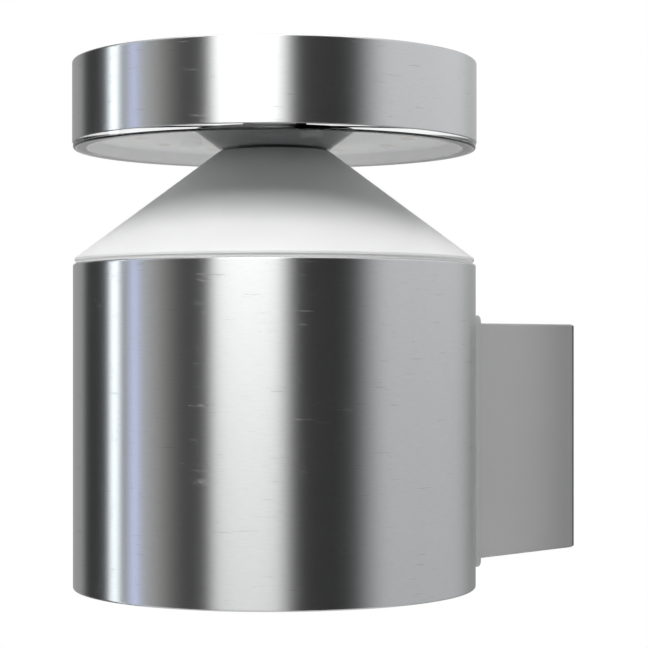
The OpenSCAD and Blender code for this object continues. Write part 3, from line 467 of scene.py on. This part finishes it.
def metal(name, base, rough, bump_depth=0.006):
    """Metal with straight brushing."""
    made, tree = new_material(name)
    brushing = use_group(tree, long_brushing())
    streaks, cloud = brushing.outputs["Streaks"], brushing.outputs["Cloud"]
    principled(tree, {
        "Base Color": tint(tree, cloud, shade(base, 0.9), shade(base, 1.08)),
        "Metallic": 1.0,
        "Roughness": spread(tree, streaks, 0.3, 0.7, rough - 0.04, rough + 0.05),
        "Normal": bump(tree, streaks, bump_depth * MM),
    })
    return made


def plain(name, base, rough, size=0.4, depth=0.01, coat=0.0, specular=0.5):
    """Paint, plastic or rubber with a fine grain."""
    made, tree = new_material(name)
    texture = use_group(tree, fine_texture(), Bump_size=size)
    bumps, drift = texture.outputs["Bumps"], texture.outputs["Drift"]
    principled(tree, {
        "Base Color": tint(tree, drift, shade(base, 0.97), shade(base, 1.03)),
        "Roughness": spread(tree, bumps, 0.3, 0.7, rough - 0.03, rough + 0.03),
        "Specular IOR Level": specular,
        "Coat Weight": coat,
        "Normal": bump(tree, bumps, depth * MM),
    })
    return made


def tray_white_painted_shade(name):
    """White light tray with painted shade: its upright side and its middle round the cone's neck are painted
    near black as shade.
    """
    made, tree = new_material(name)
    texture = use_group(tree, fine_texture(), Bump_size=0.5)
    bumps = texture.outputs["Bumps"]
    place = add(tree, "ShaderNodeTexCoord").outputs["Object"]
    part = add(tree, "ShaderNodeSeparateXYZ", {0: place})
    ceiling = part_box("light_tray")[1].z - sizes().tray_t
    # Painted shade: below the ceiling, on the upright side, the tray is painted near black
    flat = spread(tree, part.outputs["Z"], ceiling - 0.1 * MM, ceiling - 0.05 * MM)
    across = add(tree, "ShaderNodeCombineXYZ", {
        "X": part.outputs["X"], "Y": math(tree, "SUBTRACT", part.outputs["Y"], AXIS_Y)}).outputs[0]
    radius = add(tree, "ShaderNodeVectorMath", {0: across}, operation="LENGTH").outputs["Value"]
    # Painted shade: near the cone's neck the ceiling darkens to near black, fading to white further out
    outer = spread(tree, radius, sizes().neck_r * 1.15, sizes().neck_r * 2.3, smooth=True)
    pale = math(tree, "MULTIPLY", flat, outer)
    principled(tree, {
        "Base Color": tint(tree, pale, tuple(colours().tray_painted_shade), tuple(colours().tray)),
        "Roughness": spread(tree, bumps, 0.3, 0.7, 0.42, 0.48),
        "Normal": bump(tree, bumps, 0.004 * MM),
    })
    return made


def earth_sleeve(name):
    """Green sleeve with a yellow stripe along it."""
    made, tree = new_material(name)
    place = add(tree, "ShaderNodeTexCoord").outputs["Object"]
    part = add(tree, "ShaderNodeSeparateXYZ", {0: place})
    side = spread(tree, part.outputs["X"], -0.2 * MM, 0.2 * MM, smooth=True)
    principled(tree, {
        "Base Color": tint(tree, side, (0.02, 0.22, 0.05), (0.80, 0.62, 0.03)),
        "Roughness": spread(tree, noise(tree, place, 900.0), 0.3, 0.7, 0.38, 0.46),
        "Normal": bump(tree, noise(tree, place, 2500.0), 0.01 * MM),
    })
    return made


def circuit_board(name, mask, track):
    """Solder mask with faint tracks under it."""
    made, tree = new_material(name)
    place = add(tree, "ShaderNodeTexCoord").outputs["Object"]
    cells = add(tree, "ShaderNodeTexBrick", {
        "Vector": place, "Color1": (*mask, 1), "Color2": (*shade(mask, 0.93), 1), "Mortar": (*track, 1),
        "Scale": 160.0, "Mortar Size": 0.03, "Brick Width": 1.4, "Row Height": 0.6})
    principled(tree, {
        "Base Color": cells.outputs["Color"],
        "Roughness": spread(tree, noise(tree, place, 300.0), 0.3, 0.7, 0.3, 0.4),
        "Coat Weight": 0.3,
        "Normal": bump(tree, cells.outputs["Fac"], 0.02 * MM),
    })
    return made


def clear_lens(name):
    """Clear polished plastic: light reaches what lies behind it without being focused."""
    made, tree = new_material(name)
    place = add(tree, "ShaderNodeTexCoord").outputs["Object"]
    glass = add(tree, "ShaderNodeBsdfPrincipled", {
        "Base Color": tint(tree, noise(tree, place, 30.0), (0.965, 0.975, 0.975), (0.985, 0.99, 0.99)),
        "Metallic": 0.0,
        "Roughness": spread(tree, noise(tree, place, 500.0), 0.3, 0.7, 0.0, 0.02),
        "IOR": 1.49,
        "Transmission Weight": 1.0,
    })
    clear = add(tree, "ShaderNodeBsdfTransparent", {"Color": (0.90, 0.91, 0.91, 1)})
    path = add(tree, "ShaderNodeLightPath")
    skip = math(tree, "MAXIMUM", path.outputs["Is Shadow Ray"], path.outputs["Is Diffuse Ray"])
    mixed = add(tree, "ShaderNodeMixShader", {0: skip, 1: glass.outputs[0], 2: clear.outputs[0]})
    close(tree, mixed)
    return made


FINISHES = {
    "brushed_steel": brushed_steel,
    "plated_steel": lambda n: metal(n, tuple(colours().plated), 0.28),
    "zinc_sheet": lambda n: metal(n, tuple(colours().sheet_zinc), 0.36),
    "cast_aluminium": lambda n: metal(n, tuple(colours().aluminium), 0.45, bump_depth=0.02),
    "brass": lambda n: metal(n, tuple(colours().brass), 0.3),
    "white_satin": lambda n: plain(n, tuple(colours().white), 0.42, 0.5, 0.004),
    "white_plastic": lambda n: plain(n, (0.80, 0.80, 0.78), 0.45),
    "ivory_plastic": lambda n: plain(n, (0.75, 0.71, 0.58), 0.45),
    "grey_paint": lambda n: plain(n, tuple(colours().paint), 0.48, 0.3, 0.012),
    "light_seal": lambda n: plain(n, tuple(colours().seal_pale), 0.6, 0.2),
    "grey_rubber": lambda n: plain(n, tuple(colours().seal_grey), 0.7, 0.25, 0.015, specular=0.3),
    "black_rubber": lambda n: plain(n, tuple(colours().black), 0.6, 0.25, 0.015, specular=0.3),
    "phosphor": lambda n: plain(n, (0.80, 0.62, 0.16), 0.25, 0.15, 0.003, coat=0.5),
    "winding_tape": lambda n: plain(n, (0.66, 0.40, 0.06), 0.35, 0.6, 0.02),
    "capacitor_sleeve": lambda n: plain(n, (0.02, 0.03, 0.09), 0.25, 0.6, 0.004, coat=0.4),
    "brown_lead": lambda n: plain(n, (0.16, 0.06, 0.02), 0.42, 0.5, 0.01),
    "blue_lead": lambda n: plain(n, (0.03, 0.12, 0.50), 0.42, 0.5, 0.01),
    "red_lead": lambda n: plain(n, (0.50, 0.03, 0.02), 0.42, 0.5, 0.01),
    "black_lead": lambda n: plain(n, (0.02, 0.02, 0.02), 0.42, 0.5, 0.01),
    "earth_lead": earth_sleeve,
    "white_board": lambda n: circuit_board(n, (0.82, 0.82, 0.80), (0.70, 0.70, 0.68)),
    "green_board": lambda n: circuit_board(n, (0.02, 0.16, 0.05), (0.05, 0.26, 0.09)),
    "clear_lens": clear_lens,
}


def dress(piece, slot):
    """Give a piece the finish of one of the record's slots."""
    piece.data.materials.clear()
    piece.data.materials.append(material(slot))


def stand_for(piece, node, slot, body="lamp"):
    """A modelled piece takes a construction node's place, body and finish."""
    dress(piece, slot)
    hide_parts(node)
    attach(piece, body)


# Operators

class TUBELIGHT_OT_stage(bpy.types.Operator):
    """Set up the camera, the world, the floor, the softbox and the cards"""

    bl_idname = "tubelight.stage"
    bl_label = "Stage"

    def execute(self, context):
        make_camera(context.scene)
        make_world(context.scene)
        make_floor()
        make_key()
        for card in CARDS:
            make_card(*card)
        make_ceiling()
        make_wall_flag()
        return {"FINISHED"}


def bearing(turn):
    """The flat direction at a bearing from the camera's, positive to the camera's right."""
    a = studio().camera_turn + turn
    return Vector((sin(a), -cos(a), 0))


def make_camera(scene):
    """The camera that was fitted to the photo."""
    data = bpy.data.cameras.new("camera")
    data.sensor_width = 36
    data.lens = studio().lens
    data.shift_y = studio().shift
    data.clip_start = 0.02
    camera = bpy.data.objects.new("camera", data)
    back = bearing(0) * studio().camera_back
    camera.location = (back.x, AXIS_Y + back.y, BODY_LOW.z + studio().camera_rise)
    camera.rotation_euler = (pi / 2, 0, studio().camera_turn + studio().camera_yaw)
    scene.collection.objects.link(camera)
    scene.camera = camera
    scene.view_settings.view_transform = "Standard"


def make_world(scene):
    """White to the eye and in reflections, with soft light that comes mostly from the sides and from behind."""
    world = bpy.data.worlds.new("studio")
    world.use_nodes = True
    tree = world.node_tree
    tree.nodes.clear()
    path = add(tree, "ShaderNodeLightPath")
    seen = math(tree, "MAXIMUM", path.outputs["Is Camera Ray"], path.outputs["Is Glossy Ray"])
    seen = math(tree, "MAXIMUM", seen, path.outputs["Is Transmission Ray"])
    way = add(tree, "ShaderNodeTexCoord").outputs["Generated"]
    ahead = add(tree, "ShaderNodeVectorMath", {0: way, 1: bearing(0)}, operation="DOT_PRODUCT")
    level = spread(tree, ahead.outputs["Value"], 0.0, 0.85, studio().fill_side, studio().fill_front,
                   smooth=True)
    plain_fill = add(tree, "ShaderNodeBackground", {"Color": (1, 1, 1, 1), "Strength": level})
    white = add(tree, "ShaderNodeBackground", {"Color": (1, 1, 1, 1), "Strength": 1.0})
    mixed = add(tree, "ShaderNodeMixShader", {0: seen, 1: plain_fill.outputs[0], 2: white.outputs[0]})
    out = tree.nodes.new("ShaderNodeOutputWorld")
    tree.links.new(mixed.outputs[0], out.inputs["Surface"])
    world.cycles.sampling_method = "NONE"
    scene.world = world


FLOOR_R = 1.1  # radius of the floor
TOP_R, TOP_RISE, TOP_TONE = 0.6, 1.1, 2.4  # radius, height over the cap and radiance of the softbox overhead
FLAG_W, FLAG_H = 18 * MM, 60 * MM  # width and half the height of the card in the wall's plane
CARD_PARTS = 48  # flat parts of a bent card


def make_floor():
    """A pale round floor that fades into the white round it and can't be seen from below."""
    work = bmesh.new()
    bmesh.ops.create_circle(work, cap_ends=True, segments=128, radius=FLOOR_R)
    floor = placed("floor", work)
    floor.location = (0, AXIS_Y, BODY_LOW.z - studio().floor_drop)
    made, tree = new_material("floor")
    place = add(tree, "ShaderNodeTexCoord").outputs["Object"]
    away = add(tree, "ShaderNodeVectorMath", {0: place}, operation="LENGTH").outputs["Value"]
    faded = spread(tree, away, FLOOR_R * 0.35, FLOOR_R * 0.95, 1.0, 0.0, smooth=True)
    above = math(tree, "SUBTRACT", 1.0, add(tree, "ShaderNodeNewGeometry").outputs["Backfacing"])
    principled(tree, {
        "Base Color": (0.9, 0.9, 0.9, 1),
        "Roughness": 0.8,
        "Specular IOR Level": 0.1,
        "Alpha": math(tree, "MULTIPLY", faded, above),
    })
    floor.data.materials.append(made)
    floor.visible_glossy = False


def make_key():
    """The overhead softbox that lights the cone past the lamp head."""
    data = bpy.data.lights.new("key", "AREA")
    data.shape = "SQUARE"
    data.size = studio().key_size
    data.energy = studio().key_power
    key = bpy.data.objects.new("key", data)
    flat = bearing(studio().key_bearing)
    rise = studio().key_rise
    towards = Vector((flat.x * cos(rise), flat.y * cos(rise), sin(rise)))
    key.location = Vector((0, AXIS_Y, BODY_HIGH.z)) + towards * studio().key_back
    key.rotation_euler = towards.to_track_quat("Z", "Y").to_euler()
    key.visible_glossy = False
    key.visible_camera = False
    bpy.context.scene.collection.objects.link(key)


# Tints of the cards, and the heights in metres between which their light rises
NEUTRAL = (1.0, 1.0, 1.0)
COOL = (0.88, 0.97, 1.42)
MILD = (0.985, 1.0, 1.022)
PALE = (0.94, 1.0, 1.04)
OLIVE = (1.0, 1.01, 0.95)
LOW, HIGH = -0.1, 0.0
RISEN = 0.34

# Cards that only reflections see, as softboxes and dark flags stand round a product: name, how far out each
# stands as a share of the ring, bearing of its left and right edge from the camera in degrees, width of each
# edge's fade in degrees, radiance above and below, height at which it starts to rise, and tint
CARDS = (
    ("wall_right", 1.0, 36, 150, 1, 32, 1.0, 0.64, LOW, MILD),
    ("wall_back", 1.01, 105, 174, 10, 6, 0.66, 0.33, LOW, NEUTRAL),
    ("backdrop_right", 1.005, 165, 178.5, 4, 5, 0.45, 0.43, LOW, NEUTRAL),
    ("backdrop", 1.02, 160, 200, 4, 4, 0.51, 0.49, LOW, NEUTRAL),
    ("flag_dark", 0.98, -166, 66, 16, 26, 0.05, 0.04, LOW, NEUTRAL),
    ("flag_black", 0.95, 10, 52, 4, 24, 0.0, 0.0, LOW, NEUTRAL),
    ("softbox_front", 0.92, -39.0, 12.2, 8.5, 13, 3.05, 0.86, HIGH, NEUTRAL),
    ("panel_left", 0.92, -90.5, -48, 2, 32, 0.62, 0.56, LOW, OLIVE),
    ("window_left", 0.90, -88, -78.5, 3, 3, 1.0, 1.18, LOW, COOL),
    ("strip_left", 0.90, -105.3, -94, 3, 3, 3.0, 2.4, LOW, PALE),
    ("panel_back_left", 0.92, -174, -128, 8, 12, 0.42, 0.40, LOW, NEUTRAL),
)


def make_card(name, out, left, right, fade_left, fade_right, high, low, start, tone):
    """An upright card on the studio ring, bent round the light, which fades out at both edges."""
    radius = studio().ring_r * out
    half_height = radius * 1.2
    work = bmesh.new()
    uv = work.loops.layers.uv.new("place")
    pairs = []
    for i in range(CARD_PARTS + 1):
        flat = bearing(radians(left + (right - left) * i / CARD_PARTS)) * radius
        pairs.append([work.verts.new((flat.x, AXIS_Y + flat.y, z)) for z in (-half_height, half_height)])
    for i in range(CARD_PARTS):
        face = work.faces.new((pairs[i][0], pairs[i + 1][0], pairs[i + 1][1], pairs[i][1]))
        for loop, (u, v) in zip(face.loops, ((i, 0), (i + 1, 0), (i + 1, 1), (i, 1))):
            loop[uv].uv = (u / CARD_PARTS, v)
    card = placed(name, work)
    made, tree = new_material(name)
    place = add(tree, "ShaderNodeTexCoord").outputs["UV"]
    across = add(tree, "ShaderNodeSeparateXYZ", {0: place}).outputs["X"]
    width = right - left
    rise = spread(tree, across, 0.0, fade_left / width, smooth=True)
    fall = spread(tree, across, 1 - fade_right / width, 1.0, 1.0, 0.0, smooth=True)
    height = add(tree, "ShaderNodeSeparateXYZ", {0: add(tree, "ShaderNodeTexCoord").outputs["Object"]})
    level = spread(tree, height.outputs["Z"], start, RISEN, low, high, smooth=True)
    light = add(tree, "ShaderNodeEmission", {"Color": (*tone, 1), "Strength": level})
    clear = add(tree, "ShaderNodeBsdfTransparent")
    mixed = add(tree, "ShaderNodeMixShader",
                {0: math(tree, "MULTIPLY", rise, fall), 1: clear.outputs[0], 2: light.outputs[0]})
    close(tree, mixed)
    card.data.materials.append(made)
    hide_from_matter(card)


def make_ceiling():
    """A round softbox overhead, which only reflections see."""
    work = bmesh.new()
    bmesh.ops.create_circle(work, cap_ends=True, segments=64, radius=TOP_R)
    card = placed("softbox_top", work)
    card.location = (0, AXIS_Y, CAP_HIGH.z + TOP_RISE)
    made, tree = new_material("softbox_top")
    light = add(tree, "ShaderNodeEmission", {"Color": (1, 1, 1, 1), "Strength": TOP_TONE})
    close(tree, light)
    card.data.materials.append(made)
    hide_from_matter(card)


def make_wall_flag():
    """A dull card in the wall's plane beside the box, which only soft light meets."""
    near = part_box("wall_box")[1].x + MM
    far = near + FLAG_W
    work = bmesh.new()
    work.faces.new([work.verts.new((x, MM, z))
                    for x, z in ((near, -FLAG_H), (far, -FLAG_H), (far, FLAG_H), (near, FLAG_H))])
    card = placed("wall_flag", work)
    made, tree = new_material("wall_flag")
    principled(tree, {"Base Color": (0.04, 0.04, 0.04, 1), "Roughness": 0.9, "Specular IOR Level": 0.1})
    card.data.materials.append(made)
    card.visible_camera = False
    card.visible_glossy = False
    card.visible_transmission = False


def hide_from_matter(card):
    """Let only reflections see a card."""
    card.visible_camera = False
    card.visible_diffuse = False
    card.visible_shadow = False
    card.visible_transmission = False


class TUBELIGHT_OT_cap(bpy.types.Operator):
    """Turn the brushed steel cap with its rounded edge"""

    bl_idname = "tubelight.cap"
    bl_label = "Cap"

    def execute(self, context):
        s = sizes()
        z0, z1 = CAP_LOW.z, CAP_HIGH.z
        inner = CAP_R - s.sheet
        lip = s.cap_lip
        outline = [(0, z1 - s.sheet), (inner, z1 - s.sheet), (inner, z0 + lip)]
        outline += arc(inner + lip, z0 + lip, lip, 180, 270, 4)
        outline += arc(CAP_R - lip, z0 + lip, lip, 270, 360, 4)
        outline += arc(CAP_R - s.cap_edge, z1 - s.cap_edge, s.cap_edge, 0, 90, 12)
        outline += [(0, z1)]
        stand_for(turned("cap", outline), "cap_shell", "brushed_steel")
        return {"FINISHED"}


class TUBELIGHT_OT_lens(bpy.types.Operator):
    """Turn the clear lens with its spigot and groove"""

    bl_idname = "tubelight.lens"
    bl_label = "Lens"

    def execute(self, context):
        s = sizes()
        z0, z2, z4 = LENS_LOW.z, CAP_LOW.z, LENS_HIGH.z
        z1 = z0 + s.lens_t
        spigot = CAP_R - s.sheet - s.spigot_gap
        groove_z = z2 + s.groove_rise
        outline = [(s.lens_hole_r, z1), (s.lens_hole_r, z0)]
        outline += arc(LENS_R - s.lens_edge, z0 + s.lens_edge, s.lens_edge, 270, 360, 8)
        outline += [(LENS_R, z2), (spigot, z2), (spigot, groove_z), (spigot - s.groove, groove_z),
                    (spigot - s.groove, groove_z + s.groove_w), (spigot, groove_z + s.groove_w),
                    (spigot, z4), (spigot - s.spigot_t, z4), (spigot - s.spigot_t, z1)]
        stand_for(turned("lens_disc", outline), "lens", "clear_lens")
        return {"FINISHED"}


class TUBELIGHT_OT_cone(bpy.types.Operator):
    """Turn the white cone with its softened edges"""

    bl_idname = "tubelight.cone"
    bl_label = "Cone"

    def execute(self, context):
        s = sizes()
        top, low = CONE_HIGH.z, CONE_LOW.z
        outer = (CONE_HIGH.x - CONE_LOW.x) / 2
        z0 = low + s.cone_spigot_h
        z1 = z0 + s.cone_edge
        slope = atan2(top - z1, outer - s.neck_r)
        rise = (top - z1) / (outer - s.neck_r)
        drop = s.cone_wall * sqrt(1 + rise * rise)
        spigot_in = s.cone_spigot_r - s.cone_spigot_t
        roof = top - s.neck_t
        soft = s.cone_soft
        turn = 90 - slope * 180 / pi
        outline = [(s.lens_hole_r, top), (s.neck_r - soft * 0.6, top), (s.neck_r, top - soft * 0.3)]
        outline += arc(outer - soft, z1 - soft * 0.4, soft, turn, 0, 4)
        outline += [(outer, z0), (s.cone_spigot_r, z0), (s.cone_spigot_r, low), (spigot_in, low),
                    (spigot_in, z1 + (outer - spigot_in) * rise - drop),
                    (outer - (roof - z1 + drop) / rise, roof), (s.lens_hole_r, roof)]
        stand_for(turned("cone", outline), "reflector_cone", "white_satin")
        return {"FINISHED"}


class TUBELIGHT_OT_body(bpy.types.Operator):
    """Turn the brushed steel body with its recess, and drill it for the collar's screws"""

    bl_idname = "tubelight.body"
    bl_label = "Body"

    def execute(self, context):
        s = sizes()
        z0, z1 = BODY_LOW.z, BODY_HIGH.z
        inner = BODY_R - s.sheet
        floor_z = z0 + s.recess_h
        soft = s.sheet * 0.6
        outline = [(s.recess_hole_r, floor_z), (s.recess_r, floor_z)]
        outline += arc(s.recess_r + soft, z0 + soft, soft, 180, 270, 6)
        outline += arc(BODY_R - s.body_edge, z0 + s.body_edge, s.body_edge, 270, 360, 16)
        outline += tall((BODY_R, z0 + s.body_edge), (BODY_R, z1 - s.body_rim), 6)
        outline += arc(BODY_R - s.body_rim, z1 - s.body_rim, s.body_rim, 0, 90, 8)
        outline += [(inner, z1), (inner, z0 + s.sheet), (s.recess_r + s.sheet, z0 + s.sheet),
                    (s.recess_r + s.sheet, floor_z + s.sheet), (s.recess_hole_r, floor_z + s.sheet)]
        body = drill(turned("body_tube", outline), back_holes(1.1))
        stand_for(body, "body_shell", "brushed_steel")
        return {"FINISHED"}


class TUBELIGHT_OT_collar(bpy.types.Operator):
    """Bend the grey collar round the body, with softened edges"""

    bl_idname = "tubelight.collar"
    bl_label = "Collar"

    def execute(self, context):
        s = sizes()
        half_w = (COLLAR_HIGH.x - COLLAR_LOW.x) / 2
        half_h = (COLLAR_HIGH.z - COLLAR_LOW.z) / 2
        inner = BODY_R + s.collar_gap
        outer = COLLAR_HIGH.y - AXIS_Y
        thick = outer - inner
        corner = s.collar_corner
        outline = []
        for start, side, up in ((0, 1, 1), (90, -1, 1), (180, -1, -1), (270, 1, -1)):
            outline += arc(side * (half_w - corner), up * (half_h - corner), corner, start, start + 90)
        work = bmesh.new()
        front = work.faces.new([work.verts.new((x, 0, z)) for x, z in outline])
        raised = bmesh.ops.extrude_face_region(work, geom=[front])
        bmesh.ops.translate(work, vec=(0, thick, 0),
                            verts=[g for g in raised["geom"] if isinstance(g, bmesh.types.BMVert)])
        bmesh.ops.recalc_face_normals(work, faces=work.faces)
        rims = [e for e in work.edges if abs(e.verts[0].co.y - e.verts[1].co.y) < 1e-7]
        bmesh.ops.bevel(work, geom=rims, offset=s.collar_soft, segments=3, profile=0.5, affect="EDGES")
        columns = 64
        for i in range(1, columns):
            x = -half_w + 2 * half_w * i / columns
            bmesh.ops.bisect_plane(work, geom=work.verts[:] + work.edges[:] + work.faces[:],
                                   plane_co=(x, 0, 0), plane_no=(1, 0, 0), dist=1e-7)
        for v in work.verts:
            r = inner + v.co.y
            v.co.y = AXIS_Y + sqrt(r * r - v.co.x * v.co.x)
            v.co.z += (COLLAR_HIGH.z + COLLAR_LOW.z) / 2
        collar = drill(shaded(placed("collar", work)), back_holes(1.2))
        stand_for(collar, "saddle_collar", "grey_paint")
        return {"FINISHED"}


class TUBELIGHT_OT_finishes(bpy.types.Operator):
    """Give every construction node that still shows its own finish"""

    bl_idname = "tubelight.finishes"
    bl_label = "Finishes"

    def execute(self, context):
        for row in frame["record"]["subparts"]:
            piece = frame["nodes"][row["node"]]
            dress(piece, row["material_slot"])
            # The light tray gets a white finish with painted shade on its upright side and round its middle
            if row["node"] == "light_tray":
                piece.data.materials[0] = tray_white_painted_shade("finish_tray_painted_shade")
        return {"FINISHED"}


PARTS = (TUBELIGHT_OT_stage, TUBELIGHT_OT_finishes, TUBELIGHT_OT_cap, TUBELIGHT_OT_lens, TUBELIGHT_OT_cone,
         TUBELIGHT_OT_body, TUBELIGHT_OT_collar)


class TUBELIGHT_PT_panel(bpy.types.Panel):
    """The pieces, sizes and colours of the light"""

    bl_idname = "TUBELIGHT_PT_panel"
    bl_label = "Tube wall light"
    bl_space_type = "VIEW_3D"
    bl_region_type = "UI"
    bl_category = "Tube light"

    def draw(self, context):
        for part in PARTS:
            self.layout.operator(part.bl_idname)
        for settings in (sizes(), colours(), studio()):
            box = self.layout.box()
            for name in settings.__annotations__:
                box.prop(settings, name)


GROUPS = {"tube_light_sizes": TubeLightSizes, "tube_light_colours": TubeLightColours,
          "tube_light_studio": TubeLightStudio}


def register():
    for cls in (*GROUPS.values(), *PARTS, TUBELIGHT_PT_panel):
        bpy.utils.register_class(cls)
    for name, cls in GROUPS.items():
        setattr(bpy.types.Scene, name, PointerProperty(type=cls))


def unregister():
    for name in GROUPS:
        delattr(bpy.types.Scene, name)
    for cls in reversed((*GROUPS.values(), *PARTS, TUBELIGHT_PT_panel)):
        bpy.utils.unregister_class(cls)


def main():
    register()
    for part in PARTS:
        group_name, operator_name = part.bl_idname.split(".")
        getattr(getattr(bpy.ops, group_name), operator_name)()


if __name__ == "__main__":
    main()
